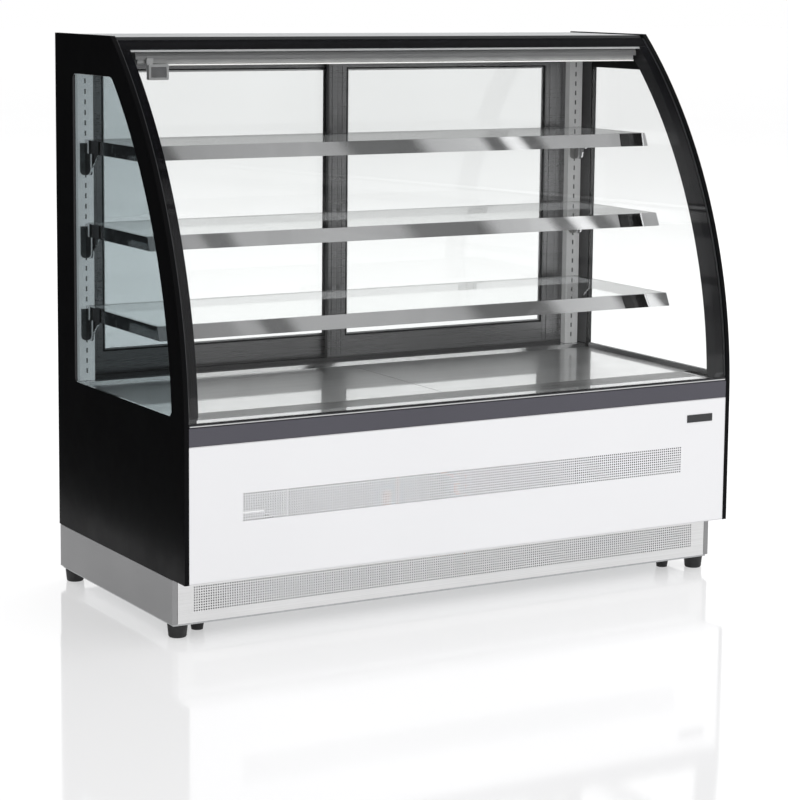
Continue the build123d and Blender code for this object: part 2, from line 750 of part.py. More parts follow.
def controller_button(x):
    """Rectangular key with a rounded face."""
    key = block(x - 4.5, x + 4.5, 356.4, 361.4, 408.3, 414.7)
    return fillet(key.edges().group_by(Axis.Y)[-1], 0.8)


def rocker(x):
    """Rocker key, lying with its upper half proud."""
    outline = [(351, 408), (357.6, 408), (356.4, 421), (359.4, 434), (351, 434)]
    key = polygon_x(outline, x - 7.5, x + 7.5)
    return key


def switch_bodies():
    """Snap-in frames of the two rocker switches."""
    group = []
    for x in SWITCH_X:
        frame = block(x - 10, x + 10, 330, REAR_SKIN + SHEET + 0.1, 406.5, 435.5)
        frame = frame + block(x - 12, x + 12, REAR_SKIN + SHEET + 0.1, 359.8, 404.5, 437.5)
        group.append(frame - block(x - 8, x + 8, 345, 365, 406.6 + 0.4, 435))
    return group


def condensate_tray():
    """Pull-out drip tray with a folded grip."""
    tray = block(-512, -188, 100, 356, 73, 112) - block(-510, -190, 102, 354, 75, 120)
    return tray + block(-400, -300, 355, 361, 104, 112) - block(-398, -302, 355.9, 359.5, 100, 110)


def drain_pipe():
    """Drain from the floor of the tub to the tray."""
    pipe_body = rod_z(9, DRAIN_X, DRAIN_Y, 128, 376) + rod_z(16, DRAIN_X, DRAIN_Y, 375.2, 377)
    return pipe_body - rod_z(7, DRAIN_X, DRAIN_Y, 120, 380)


# ---------------------------------------------------------------- assembly
def build_nodes():
    """Make every sub-part."""
    keep("base_frame", base_frame())
    for label, (x, y) in zip(("left_front", "left_rear", "right_front", "right_rear"), foot_places()):
        keep("foot_" + label, levelling_foot(x, y))
    keep("support_feet", support_feet())
    keep("plinth_front", plinth_front())
    keep("plinth_sides", [side_plinth(), mirrored(side_plinth())])
    keep("front_panel", front_panel())
    keep("badge_plate", badge_plate())
    keep("rear_panel", rear_panel())
    keep("rear_grille", rear_grille())
    keep("screws", screws())
    keep("bumper_rail", bumper_rail())
    keep("glass_seal", glass_seal())
    keep("side_panel_right", side_panel())
    keep("side_panel_left", mirrored(side_panel()))
    keep("side_glasses", [side_glass(), mirrored(side_glass())])
    keep("arch_frames", [arch_frame(), mirrored(arch_frame())])
    keep("front_glass", front_glass())
    keep("glass_hinge_profile", glass_hinge_profile())
    keep("roof_panel", roof_panel())
    keep("header_profile", header_profile())
    keep("lamp_housing", lamp_housing())
    keep("lamp_diffuser", lamp_diffuser())
    keep("thermometer", thermometer())
    keep("uprights", [upright(), mirrored(upright())])
    for level in SHELF_TOPS:
        keep("shelf_" + level + "_frame", shelf_frame(level))
        keep("shelf_" + level + "_glass", shelf_glass(level))
    keep("insulated_tub", insulated_tub())
    keep("deck_plates", [deck_plate(), mirrored(deck_plate())])
    keep("air_grille", air_grille())
    keep("evaporator_coil", evaporator_coil())
    keep("evaporator_fan_panel", evaporator_fan_panel())
    for label, x in zip(("left", "right"), EVAPORATOR_FAN_X):
        keep("evaporator_fan_" + label, propeller(x, 111, 431, 42, 14, 12, 5, SHAFT_R + RUNNING_GAP))
    keep("door_surround", door_surround())
    keep("door_left_frame", door_left_frame())
    keep("door_left_glass", door_glass(DOOR_LEFT_WINDOW, DOOR_OUTER_Y))
    keep("door_right_frame", door_right_frame())
    keep("door_right_glass", door_glass(DOOR_RIGHT_WINDOW, DOOR_INNER_Y))
    keep("compressor", compressor())
    keep("compressor_mounts", compressor_mounts())
    keep("condenser_coil", condenser_coil())
    keep("condenser_shroud", condenser_shroud())
    bore = SHAFT_R + RUNNING_GAP
    keep("condenser_fan", propeller(CONDENSER_X, -118, CONDENSER_Z, 98, 26, 22, 5, bore))
    keep("pipework", refrigerant_pipes() + [filter_drier(), drain_pipe()])
    keep("electrical_box", [electrical_box(), cable_gland()])
    keep("controller", controller())
    for label, x in BUTTON_X.items():
        keep("button_" + label, controller_button(x))
    keep("switch_bodies", switch_bodies())
    keep("power_rocker", rocker(SWITCH_X[0]))
    keep("light_rocker", rocker(SWITCH_X[1]))
    keep("condensate_tray", condensate_tray())


def export_nodes():
    """Write one STEP file for each node."""
    os.makedirs("parts", exist_ok=True)
    for name, shape in nodes.items():
        export_step(shape, os.path.join("parts", name + ".step"))


build_nodes()
export_nodes()
print(len(nodes), "nodes written")
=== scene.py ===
import math

import bmesh
import bpy
from mathutils import Matrix, Vector


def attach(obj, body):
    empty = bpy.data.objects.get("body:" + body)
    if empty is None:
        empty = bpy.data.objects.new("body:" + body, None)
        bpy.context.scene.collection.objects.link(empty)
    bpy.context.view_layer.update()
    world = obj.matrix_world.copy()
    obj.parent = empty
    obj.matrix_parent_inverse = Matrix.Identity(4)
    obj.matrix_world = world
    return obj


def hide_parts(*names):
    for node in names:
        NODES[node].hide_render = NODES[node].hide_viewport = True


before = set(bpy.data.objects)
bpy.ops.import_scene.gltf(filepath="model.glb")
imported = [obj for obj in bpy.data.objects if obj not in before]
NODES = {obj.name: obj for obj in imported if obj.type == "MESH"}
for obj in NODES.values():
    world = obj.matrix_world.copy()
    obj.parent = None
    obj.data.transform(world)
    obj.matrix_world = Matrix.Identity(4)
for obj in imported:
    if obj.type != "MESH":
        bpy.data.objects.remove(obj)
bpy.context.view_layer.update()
MM = 0.001

# Sizes and places of the new pieces, in millimetres, along the axes of the frame.
FRONT_SKIN = -361.0
REAR_SKIN = 357.0
PLINTH_FACE = -292.0
SHEET = 1.5
PANEL_HALF = 738.5
KICK_HALF = 734.5
HOLE_PITCH = 6.0
GRILLE_HALF = 712.0
GRILLE_TOP = 498.0
ARC_CENTRE_Y = 847.0
ARC_CENTRE_Z = 452.5
GLASS_OUTER = 1206.0
GLASS_INNER = 1200.0
GLASS_HALF = 737.0
WINDOW_RADIUS = 1143.0
WINDOW_LOW = 510.0
WINDOW_TOP = 1250.0
WINDOW_REAR = 256.0
WINDOW_CORNER = 14.0
PANE_GAP = 0.6
DOOR_PANE_LOW = 565.4
DOOR_PANE_TOP = 1253.6
SHELF_TOPS = {"top": 1091.0, "middle": 891.0, "bottom": 691.0}
UPRIGHT_X = 703.0
BRACKET_DROP = 86.0
BRACKET_HALF = 15.5
BRACKET_CORNER = 11.0
COIL_TUBE = 4.8


# ---------------------------------------------------------------- node helpers
class Shader:
    """A node material in the making, with short calls for the nodes it needs."""

    def __init__(self, name):
        self.material = bpy.data.materials.new(name)
        self.material.use_nodes = True
        self.tree = self.material.node_tree
        self.tree.nodes.clear()
        self.output = self.tree.nodes.new("ShaderNodeOutputMaterial")
        self.principled = self.tree.nodes.new("ShaderNodeBsdfPrincipled")
        self.link(self.principled.outputs[0], self.output.inputs["Surface"])
        self.coords = self.tree.nodes.new("ShaderNodeTexCoord").outputs["Object"]

    def link(self, a, b):
        self.tree.links.new(a, b)

    def put(self, **values):
        """Plain values on the shader's own sockets."""
        for key, value in values.items():
            self.principled.inputs[key.replace("_", " ")].default_value = value

    def scaled(self, x, y, z):
        """Object coordinates stretched along each axis."""
        mapping = self.tree.nodes.new("ShaderNodeMapping")
        mapping.inputs["Scale"].default_value = (x, y, z)
        self.link(self.coords, mapping.inputs["Vector"])
        return mapping.outputs[0]

    def noise(self, scale, detail=3.0, rough=0.5, vector=None):
        node = self.tree.nodes.new("ShaderNodeTexNoise")
        node.inputs["Scale"].default_value = scale
        node.inputs["Detail"].default_value = detail
        node.inputs["Roughness"].default_value = rough
        self.link(vector or self.coords, node.inputs["Vector"])
        return node.outputs["Fac"]

    def cells(self, scale, vector=None):
        node = self.tree.nodes.new("ShaderNodeTexVoronoi")
        node.inputs["Scale"].default_value = scale
        self.link(vector or self.coords, node.inputs["Vector"])
        return node.outputs["Distance"]

    def ramp(self, value, low, high, a, b):
        """value mapped from low..high to a..b, held at both ends."""
        node = self.tree.nodes.new("ShaderNodeMapRange")
        node.inputs["From Min"].default_value = low
        node.inputs["From Max"].default_value = high
        node.inputs["To Min"].default_value = a
        node.inputs["To Max"].default_value = b
        self.link(value, node.inputs["Value"])
        return node.outputs["Result"]

    def blend(self, factor, a, b):
        """Colour from a to b."""
        node = self.tree.nodes.new("ShaderNodeMix")
        node.data_type = "RGBA"
        for socket, value in ((node.inputs[6], a), (node.inputs[7], b)):
            if isinstance(value, tuple):
                socket.default_value = (*value, 1.0)
            else:
                self.link(value, socket)
        self.link(factor, node.inputs[0])
        return node.outputs[2]

    def bump(self, height, strength, distance):
        node = self.tree.nodes.new("ShaderNodeBump")
        node.inputs["Strength"].default_value = strength
        node.inputs["Distance"].default_value = distance
        self.link(height, node.inputs["Height"])
        self.link(node.outputs[0], self.principled.inputs["Normal"])

    def colour(self, socket):
        self.link(socket, self.principled.inputs["Base Color"])

    def roughness(self, socket):
        self.link(socket, self.principled.inputs["Roughness"])


# ---------------------------------------------------------------- geometry helpers
def piece(name, points, faces, material, body, node=None, smooth=False, bevel=0.0):
    """New mesh piece, in millimetres, that rides on a body and may stand for a CAD node."""
    mesh = bpy.data.meshes.new(name)
    mesh.from_pydata([(x * MM, y * MM, z * MM) for x, y, z in points], [], faces)
    work = bmesh.new()
    work.from_mesh(mesh)
    bmesh.ops.recalc_face_normals(work, faces=work.faces)
    if bevel:
        edges = [e for e in work.edges if e.calc_face_angle(0.0) > math.radians(40)]
        bmesh.ops.bevel(work, geom=edges, offset=bevel * MM, segments=2, affect="EDGES", profile=0.5)
    work.to_mesh(mesh)
    work.free()
    if smooth:
        mesh.polygons.foreach_set("use_smooth", [True] * len(mesh.polygons))
        mesh.set_sharp_from_angle(angle=math.radians(32))
    item = bpy.data.objects.new(name, mesh)
    bpy.context.scene.collection.objects.link(item)
    mesh.materials.append(MAT[material])
    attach(item, body)
    if node:
        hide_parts(node)
    return item


class Shape:
    """Points and faces of one mesh, gathered shape by shape."""

    def __init__(self):
        self.points = []
        self.faces = []

    def add(self, points, faces):
        start = len(self.points)
        self.points += points
        self.faces += [tuple(start + i for i in face) for face in faces]

    def loft(self, sections):
        """Closed solid through outlines with the same number of points."""
        count = len(sections[0])
        points = [p for section in sections for p in section]
        faces = [tuple(range(count)), tuple(range(len(points) - count, len(points)))]
        for level in range(len(sections) - 1):
            for i in range(count):
                j = (i + 1) % count
                low = level * count
                faces.append((low + i, low + j, low + count + j, low + count + i))
        self.add(points, faces)

    def bar_x(self, outline, x0, x1):
        """Prism along X from (y, z) corners."""
        self.loft([[(x, y, z) for y, z in outline] for x in (x0, x1)])

    def bar_z(self, outline, z0, z1):
        """Prism along Z from (x, y) corners."""
        self.loft([[(x, y, z) for x, y in outline] for z in (z0, z1)])

    def plate(self, x0, x1, y0, y1, z0, z1):
        self.bar_x([(y0, z0), (y1, z0), (y1, z1), (y0, z1)], x0, x1)

    def tube(self, centre_a, centre_b, radius, sides=20):
        """Round bar between two points."""
        a = Vector(centre_a)
        b = Vector(centre_b)
        along = (b - a).normalized()
        side = along.orthogonal().normalized()
        up = along.cross(side)
        rings = []
        for centre in (a, b):
            turns = [2 * math.pi * i / sides for i in range(sides)]
            rings.append([tuple(centre + radius * (side * math.cos(t) + up * math.sin(t))) for t in turns])
        self.loft(rings)

    def frame_y(self, outer, width, y0, y1):
        """Rectangular ring in the XZ plane. outer is (low x, high x, low z, high z)."""
        x0, x1, z0, z1 = outer
        rings = []
        for grow, y in ((0, y0), (width, y0), (width, y1), (0, y1)):
            rings.append([(x0 + grow, y, z0 + grow), (x1 - grow, y, z0 + grow),
                          (x1 - grow, y, z1 - grow), (x0 + grow, y, z1 - grow)])
        points = [p for ring in rings for p in ring]
        faces = []
        for a, b in ((0, 1), (1, 2), (2, 3), (3, 0)):
            for i in range(4):
                j = (i + 1) % 4
                faces.append((a * 4 + i, a * 4 + j, b * 4 + j, b * 4 + i))
        self.add(points, faces)

    def arc(self, outer, inner, low, high, x0, x1, steps):
        """Curved strip between two radii about the axis of the front glass."""
        sections = []
        for x in (x0, x1):
            section = []
            for radius, order in ((outer, 1), (inner, -1)):
                for i in range(steps + 1)[::order]:
                    z = low + (high - low) * i / steps
                    section.append((x, arc_y(radius, z), z))
            sections.append(section)
        count = len(sections[0])
        faces = []
        for i in range(count):
            j = (i + 1) % count
            faces.append((i, j, count + j, count + i))
        for side in (0, count):
            for i in range(steps):
                far = count - 1 - i
                faces.append((side + i, side + i + 1, side + far - 1, side + far))
        self.add(sections[0] + sections[1], faces)

    def perforated(self, place, outer, middle, columns, rows, pitch, radius, thick):
        """Flat sheet with a grid of round holes. place turns (u, v, depth) into a point."""
        corners = {}
        points = []
        faces = []

        def put(u, v, w):
            points.append(place(u, v, w))
            return len(points) - 1

        low_u = middle[0] - pitch * columns / 2
        low_v = middle[1] - pitch * rows / 2
        turns = [math.radians(22.5 + 45 * k) for k in range(8)]
        depths = (0.0, thick)
        for level, w in enumerate(depths):
            for i in range(columns + 1):
                for j in range(rows + 1):
                    corners[i, j, level] = put(low_u + i * pitch, low_v + j * pitch, w)
        for i in range(columns):
            for j in range(rows):
                u = low_u + (i + 0.5) * pitch
                v = low_v + (j + 0.5) * pitch
                rings = [[put(u + radius * math.cos(t), v + radius * math.sin(t), w) for t in turns]
                         for w in depths]
                for level, ring in enumerate(rings):
                    c = [corners[i + 1, j + 1, level], corners[i, j + 1, level],
                         corners[i, j, level], corners[i + 1, j, level]]
                    for q in range(4):
                        faces.append((c[q], ring[2 * q + 1], ring[2 * q]))
                        faces.append((c[q], c[(q + 1) % 4], ring[(2 * q + 2) % 8], ring[2 * q + 1]))
                for k in range(8):
                    n = (k + 1) % 8
                    faces.append((rings[0][k], rings[0][n], rings[1][n], rings[1][k]))
        u0, u1, v0, v1 = outer
        rim = [[put(u, v, w) for u, v in ((u0, v0), (u1, v0), (u1, v1), (u0, v1))] for w in depths]
        for level, r in enumerate(rim):
            low = [corners[i, 0, level] for i in range(columns + 1)]
            high = [corners[i, rows, level] for i in range(columns + 1)]
            left = [corners[0, j, level] for j in range(rows + 1)]
            right = [corners[columns, j, level] for j in range(rows + 1)]
            faces.append((r[0], r[1], *low[::-1]))
            faces.append((r[1], r[2], *right[::-1]))
            faces.append((r[2], r[3], *high))
            faces.append((r[3], r[0], *left))
        for k in range(4):
            n = (k + 1) % 4
            faces.append((rim[0][k], rim[0][n], rim[1][n], rim[1][k]))
        self.add(points, faces)


def arc_y(radius, z):
    """Depth of the curved front of this radius at height z, in millimetres."""
    return ARC_CENTRE_Y - math.sqrt(radius ** 2 - (z - ARC_CENTRE_Z) ** 2)


# ---------------------------------------------------------------- materials
def painted(name, colour, rough, peel=0.06, coat=0.3, specular=0.5, wear=1.0):
    """Powder coat: slight tone drift, orange peel and soft wear in the gloss."""
    s = Shader(name)
    darker = tuple(c * (1.0 - 0.14 * wear) for c in colour)
    drift = s.noise(2.2, 4.0)
    s.colour(s.blend(s.ramp(drift, 0.3, 0.7, 0.0, 1.0), darker, colour))
    spread = 0.2 * wear
    s.roughness(s.ramp(s.noise(9.0, 5.0, 0.6), 0.25, 0.75, rough * (1 - spread), rough * (1 + spread)))
    s.put(Coat_Weight=coat, Coat_Roughness=0.08, Specular_IOR_Level=specular)
    s.bump(s.noise(420.0, 2.0), peel, 0.0004)
    return s.material


def brushed(name, colour, rough, along, strength=0.10, aniso=0.5):
    """Brushed metal with the grain along X, Y or Z."""
    s = Shader(name)
    stretch = {"X": (1.5, 420.0, 420.0), "Y": (420.0, 1.5, 420.0), "Z": (420.0, 420.0, 1.5)}[along]
    grain = s.noise(1.0, 4.0, 0.7, s.scaled(*stretch))
    patch = s.noise(3.0, 3.0)
    low = tuple(c * 0.9 for c in colour)
    s.colour(s.blend(s.ramp(grain, 0.35, 0.65, 0.0, 1.0), low, colour))
    mixed = s.tree.nodes.new("ShaderNodeMath")
    mixed.operation = "ADD"
    s.link(s.ramp(grain, 0.3, 0.7, rough * 0.75, rough * 1.15), mixed.inputs[0])
    s.link(s.ramp(patch, 0.3, 0.7, 0.0, rough * 0.25), mixed.inputs[1])
    s.roughness(mixed.outputs[0])
    s.put(Metallic=1.0, Anisotropic=aniso)
    s.bump(grain, strength, 0.0003)
    return s.material


def polished(name, colour, rough=0.05):
    """Mirror-polished steel with faint wiping marks."""
    s = Shader(name)
    marks = s.noise(26.0, 5.0, 0.65, s.scaled(0.6, 2.4, 2.4))
    tone = s.noise(4.0, 2.0)
    low = tuple(c * 0.93 for c in colour)
    s.colour(s.blend(s.ramp(tone, 0.3, 0.7, 0.0, 1.0), low, colour))
    s.roughness(s.ramp(marks, 0.35, 0.75, rough * 0.6, rough * 1.8))
    s.put(Metallic=1.0)
    s.bump(s.noise(6.0, 2.0), 0.012, 0.002)
    return s.material


def deck(name):
    """Bright rolled steel of the deck, a slightly hazy mirror with faint rolling grain."""
    s = Shader(name)
    grain = s.noise(1.0, 4.0, 0.7, s.scaled(1.5, 300.0, 300.0))
    s.colour(s.blend(s.ramp(grain, 0.35, 0.65, 0.0, 1.0), (0.70, 0.70, 0.705), (0.80, 0.80, 0.805)))
    s.roughness(s.ramp(s.noise(14.0, 4.0), 0.3, 0.7, 0.32, 0.42))
    s.put(Metallic=1.0, Coat_Weight=1.0, Coat_Roughness=0.045, Coat_IOR=2.6)
    s.bump(s.noise(5.0, 2.0), 0.01, 0.002)
    return s.material


def upright(name):
    """Satin steel of the shelf uprights, with painted light: the left one is painted lighter than the right,
    and both glow a little as painted light, the left one more than the right.
    """
    s = Shader(name)
    split = s.tree.nodes.new("ShaderNodeSeparateXYZ")
    s.link(s.coords, split.inputs[0])
    grain = s.noise(1.0, 4.0, 0.7, s.scaled(420.0, 420.0, 1.5))
    # Painted light: pale lit grey on the left upright, shaded mid grey on the right one.
    shade_toward_right = s.ramp(split.outputs["X"], -0.2, 0.2, 0.0, 1.0)
    side = s.blend(shade_toward_right, (0.93, 0.91, 0.91), (0.42, 0.42, 0.425))
    worn = s.blend(s.ramp(s.noise(30.0, 4.0), 0.3, 0.7, 0.0, 0.25), side, (0.40, 0.40, 0.40))
    s.colour(s.blend(s.ramp(grain, 0.35, 0.65, 0.0, 0.12), worn, (0.30, 0.30, 0.30)))
    s.roughness(s.ramp(grain, 0.3, 0.7, 0.30, 0.42))
    # Painted light: a glow on the uprights, which are no lamp, stronger on the left.
    glow = s.blend(shade_toward_right, (1.0, 0.985, 0.985), (0.30, 0.30, 0.30))
    s.link(glow, s.principled.inputs["Emission Color"])
    s.put(Emission_Strength=0.5)
    s.bump(grain, 0.05, 0.0003)
    return s.material


def plastic(name, colour, rough, grain=900.0, depth=0.12):
    """Moulded plastic with a fine spark-eroded grain."""
    s = Shader(name)
    low = tuple(c * 0.82 for c in colour)
    s.colour(s.blend(s.ramp(s.noise(14.0, 4.0), 0.3, 0.7, 0.0, 1.0), low, colour))
    s.roughness(s.ramp(s.noise(40.0, 3.0), 0.3, 0.7, rough * 0.85, rough * 1.15))
    s.bump(s.cells(grain), depth, 0.0002)
    return s.material


def roof(name):
    """Matt grey top, with its bevelled front edge painted near black as painted shade."""
    s = Shader(name)
    split = s.tree.nodes.new("ShaderNodeSeparateXYZ")
    s.link(s.coords, split.inputs[0])
    top = s.blend(s.ramp(s.noise(5.0, 4.0), 0.3, 0.7, 0.0, 1.0), (0.40, 0.41, 0.415), (0.46, 0.47, 0.475))
    # Painted shade: near black on the front bevel, in front of the given depth.
    s.colour(s.blend(s.ramp(split.outputs["Y"], 0.0418, 0.0426, 0.0, 1.0), (0.035, 0.036, 0.037), top))
    s.roughness(s.ramp(s.noise(30.0, 4.0), 0.3, 0.7, 0.5, 0.62))
    s.put(Specular_IOR_Level=0.02)
    s.bump(s.noise(400.0, 2.0), 0.05, 0.0003)
    return s.material


def galvanised(name):
    """Galvanised sheet with its spangle."""
    s = Shader(name)
    spangle = s.cells(110.0)
    s.colour(s.blend(s.ramp(spangle, 0.0, 0.9, 0.0, 1.0), (0.50, 0.51, 0.52), (0.58, 0.59, 0.60)))
    s.roughness(s.ramp(s.noise(30.0, 4.0), 0.3, 0.7, 0.34, 0.5))
    s.put(Metallic=0.85)
    s.bump(spangle, 0.05, 0.0004)
    return s.material


def rubber(name):
    """Black rubber with a dusty bloom."""
    s = Shader(name)
    dust = s.ramp(s.noise(35.0, 5.0), 0.4, 0.75, 0.0, 1.0)
    s.colour(s.blend(dust, (0.010, 0.010, 0.011), (0.032, 0.032, 0.033)))
    s.roughness(s.ramp(s.noise(60.0, 3.0), 0.3, 0.7, 0.5, 0.72))
    s.bump(s.noise(600.0, 2.0), 0.15, 0.0003)
    return s.material


def glass(name, tint):
    """Clear glass. Light from the lamps and the sky passes straight through."""
    s = Shader(name)
    low = tuple(c * 0.985 for c in tint)
    s.colour(s.blend(s.ramp(s.noise(1.7, 2.0), 0.35, 0.65, 0.0, 1.0), low, tint))
    s.put(Transmission_Weight=1.0, Roughness=0.0, IOR=1.33)
    clear = s.tree.nodes.new("ShaderNodeBsdfTransparent")
    clear.inputs["Color"].default_value = (*tint, 1.0)
    path = s.tree.nodes.new("ShaderNodeLightPath")
    mix = s.tree.nodes.new("ShaderNodeMixShader")
    s.link(path.outputs["Is Shadow Ray"], mix.inputs[0])
    s.link(s.principled.outputs[0], mix.inputs[1])
    s.link(clear.outputs[0], mix.inputs[2])
    s.link(mix.outputs[0], s.output.inputs["Surface"])
    return s.material


def opal(name, glow, tone=0.84):
    """Opal plastic, with the glow that it gives off."""
    s = Shader(name)
    low, high = (0.88 * tone,) * 3, (tone,) * 3
    s.colour(s.blend(s.ramp(s.noise(20.0, 3.0), 0.3, 0.7, 0.0, 1.0), low, high))
    s.roughness(s.ramp(s.noise(60.0, 2.0), 0.3, 0.7, 0.3, 0.45))
    s.put(Emission_Color=(1.0, 0.98, 0.94, 1.0), Emission_Strength=glow)
    s.bump(s.noise(300.0, 2.0), 0.05, 0.0003)
    return s.material


MAT = {
    "black_side": painted("black_side", (0.0030, 0.0030, 0.0036), 0.42, 0.05, 0.0, 0.08),
    "white_front": painted("white_front", (0.80, 0.80, 0.815), 0.30, 0.02, 0.1, 0.4, 0.15),
    "kick_steel": brushed("kick_steel", (0.93, 0.93, 0.93), 0.34, "X", 0.05, 0.3),
    "side_steel": brushed("side_steel", (0.38, 0.38, 0.385), 0.36, "Y", 0.08, 0.3),
    "roof_grey": roof("roof_grey"),
    "tub_steel": brushed("tub_steel", (0.60, 0.60, 0.61), 0.34, "X", 0.05, 0.3),
    "upright_steel_painted_light": upright("upright_steel_painted_light"),
    "shelf_steel": polished("shelf_steel", (0.80, 0.80, 0.81), 0.015),
    "deck_steel": deck("deck_steel"),
    "bumper": painted("bumper", (0.085, 0.083, 0.100), 0.36, 0.05, 0.0, 0.3),
    "door_frame": brushed("door_frame", (0.27, 0.27, 0.275), 0.28, "X", 0.03, 0.1),
    "door_track": brushed("door_track", (0.13, 0.13, 0.133), 0.36, "X", 0.03, 0.1),
    "arch_black": painted("arch_black", (0.022, 0.022, 0.024), 0.22, 0.02, 0.4, 0.4),
    "lamp_metal": brushed("lamp_metal", (0.38, 0.38, 0.385), 0.34, "X", 0.05, 0.2),
    "bare_metal": brushed("bare_metal", (0.66, 0.66, 0.67), 0.3, "X", 0.08, 0.3),
    "zinc": galvanised("zinc"),
    "rubber": rubber("rubber"),
    "grey_plastic": plastic("grey_plastic", (0.46, 0.46, 0.465), 0.42),
    "screen_grey": plastic("screen_grey", (0.15, 0.15, 0.155), 0.25, 1200.0, 0.02),
    "black_plastic": plastic("black_plastic", (0.020, 0.020, 0.022), 0.40),
    "green_plastic": plastic("green_plastic", (0.015, 0.22, 0.05), 0.25, 900.0, 0.05),
    "badge": plastic("badge", (0.030, 0.031, 0.034), 0.22, 1200.0, 0.03),
    "enamel": painted("enamel", (0.012, 0.012, 0.013), 0.16, 0.08, 0.6),
    "copper": brushed("copper", (0.72, 0.34, 0.20), 0.28, "Z", 0.05, 0.1),
    "right_pane": glass("right_pane", (0.985, 0.992, 0.990)),
    "shelf_pane": glass("shelf_pane", (0.925, 0.94, 0.935)),
    "bracket_steel": painted("bracket_steel", (0.30, 0.295, 0.29), 0.36, 0.03, 0.1, 0.5),
    "sill_steel": brushed("sill_steel", (0.82, 0.82, 0.825), 0.22, "X", 0.05, 0.2),
    "mesh_steel": brushed("mesh_steel", (0.62, 0.62, 0.625), 0.30, "X", 0.05, 0.2),
    "reveal": painted("reveal", (0.05, 0.05, 0.052), 0.45, 0.05, 0.0, 0.3),
    "lining": painted("lining", (0.13, 0.13, 0.133), 0.40, 0.05, 0.0, 0.3),
    "clear_glass": glass("clear_glass", (0.962, 0.968, 0.966)),
    # Painted shade: the left side pane is tinted dark, though both side panes are the same glass.
    "left_pane_painted_shade": glass("left_pane_painted_shade", (0.45, 0.515, 0.535)),
    "opal": opal("opal", 0.0, 0.45),
    "lit_bead": opal("lit_bead", 0.5),
    "edge_light": painted("edge_light", (0.06, 0.062, 0.065), 0.2, 0.02, 0.3),
    # Painted highlight: light grey on the header profile and the hinge lip stands in for bright edge lines.
    "trim_painted_highlight": painted("trim_painted_highlight", (0.55, 0.555, 0.56), 0.35, 0.03, 0.1),
    "print_black": painted("print_black", (0.003, 0.003, 0.004), 0.10, 0.0, 0.0, 0.2),
}

NODE_MATERIALS = {
    "side_panel_left": "black_side", "side_panel_right": "black_side",
    "plinth_sides": "side_steel", "plinth_front": "kick_steel", "front_panel": "white_front",
    "badge_plate": "badge", "bumper_rail": "bumper", "glass_seal": "rubber",
    "glass_hinge_profile": "arch_black", "front_glass": "clear_glass", "side_glasses": "clear_glass",
    # The header profile takes the light grey of a painted highlight.
    "arch_frames": "arch_black", "roof_panel": "roof_grey", "header_profile": "trim_painted_highlight",
    "lamp_housing": "lamp_metal", "lamp_diffuser": "opal", "thermometer": "grey_plastic",
    "uprights": "upright_steel_painted_light", "insulated_tub": "sill_steel", "deck_plates": "deck_steel",
    "air_grille": "deck_steel", "evaporator_coil": "bare_metal", "evaporator_fan_panel": "zinc",
    "evaporator_fan_left": "black_plastic", "evaporator_fan_right": "black_plastic",
    "door_surround": "door_track", "door_left_frame": "door_frame", "door_right_frame": "door_frame",
    "door_left_glass": "clear_glass", "door_right_glass": "clear_glass",
    "compressor": "enamel", "compressor_mounts": "rubber", "condenser_coil": "bare_metal",
    "condenser_shroud": "zinc", "condenser_fan": "black_plastic", "pipework": "copper",
    "electrical_box": "grey_plastic", "controller": "black_plastic", "switch_bodies": "black_plastic",
    "power_rocker": "green_plastic", "light_rocker": "black_plastic", "condensate_tray": "zinc",
    "base_frame": "zinc", "rear_panel": "zinc", "rear_grille": "zinc", "screws": "bare_metal",
    "support_feet": "rubber",
}


def material_for(node):
    """Material name of a carried-over CAD node."""
    if node.startswith("foot_"):
        return "rubber"
    if node.startswith("button_"):
        return "grey_plastic"
    if node.startswith("shelf_"):
        return "shelf_pane" if node.endswith("_glass") else "shelf_steel"
    return NODE_MATERIALS[node]


def paint_nodes():
    """Give every CAD node its material."""
    for name, node in NODES.items():
        for index in range(len(node.data.materials)):
            node.data.materials[index] = MAT[material_for(name)]


# ---------------------------------------------------------------- sheet metal
def front_panel():
    """White front with its band of round holes."""
    shape = Shape()
    low, high = 140.0, 451.0
    face = FRONT_SKIN
    shape.perforated(lambda u, v, w: (u, face + w, v), (-PANEL_HALF, PANEL_HALF, low + 1, high - 1),
                     (0, 304.5), 202, 11, HOLE_PITCH, 2.05, SHEET)
    under = PLINTH_FACE - 0.6
    lower_fold = [(face, low + 0.2), (face + 0.4, low), (under, low), (under, low + SHEET),
                  (face + 1, low + SHEET), (face, low + SHEET)]
    upper_fold = [(face, high - 1.4), (face + 22, high - 1.4), (face + 22, high), (face + 0.4, high),
                  (face, high - 0.4)]
    for fold in (lower_fold, upper_fold):
        shape.bar_x(fold, -PANEL_HALF, PANEL_HALF)
    piece("front_panel_sheet", shape.points, shape.faces, "white_front", "cabinet",
          "front_panel")


def plinth_front():
    """Kick plate with its band of round holes."""
    shape = Shape()
    shape.perforated(lambda u, v, w: (u, PLINTH_FACE + w, v), (-KICK_HALF, KICK_HALF, 35, 138), (0, 89),
                     232, 10, HOLE_PITCH, 1.85, SHEET)
    piece("kick_plate_sheet", shape.points, shape.faces, "kick_steel", "cabinet",
          "plinth_front")


def air_grille():
    """Return air strip: a plain front flange and a mesh behind it."""
    flange = Shape()
    half = GRILLE_HALF
    front, split, rear = -329.0, -296.0, -215.5
    top = GRILLE_TOP
    lip = top - 9.8
    flange.plate(-half, half, front, split, top - 0.8, top)
    flange.plate(-half, half, front, front + SHEET, lip, top - 0.8)
    piece("air_grille_flange", flange.points, flange.faces, "deck_steel", "cabinet",
          "air_grille")
    mesh = Shape()
    mesh.perforated(lambda u, v, w: (u, v, top - 0.1 - w), (-half, half, split, rear), (0, -256), 234, 13,
                    HOLE_PITCH, 2.5, 0.8)
    mesh.plate(-half, half, rear - SHEET, rear, lip, top - 1.0)
    piece("air_grille_mesh", mesh.points, mesh.faces, "mesh_steel", "cabinet", "air_grille")


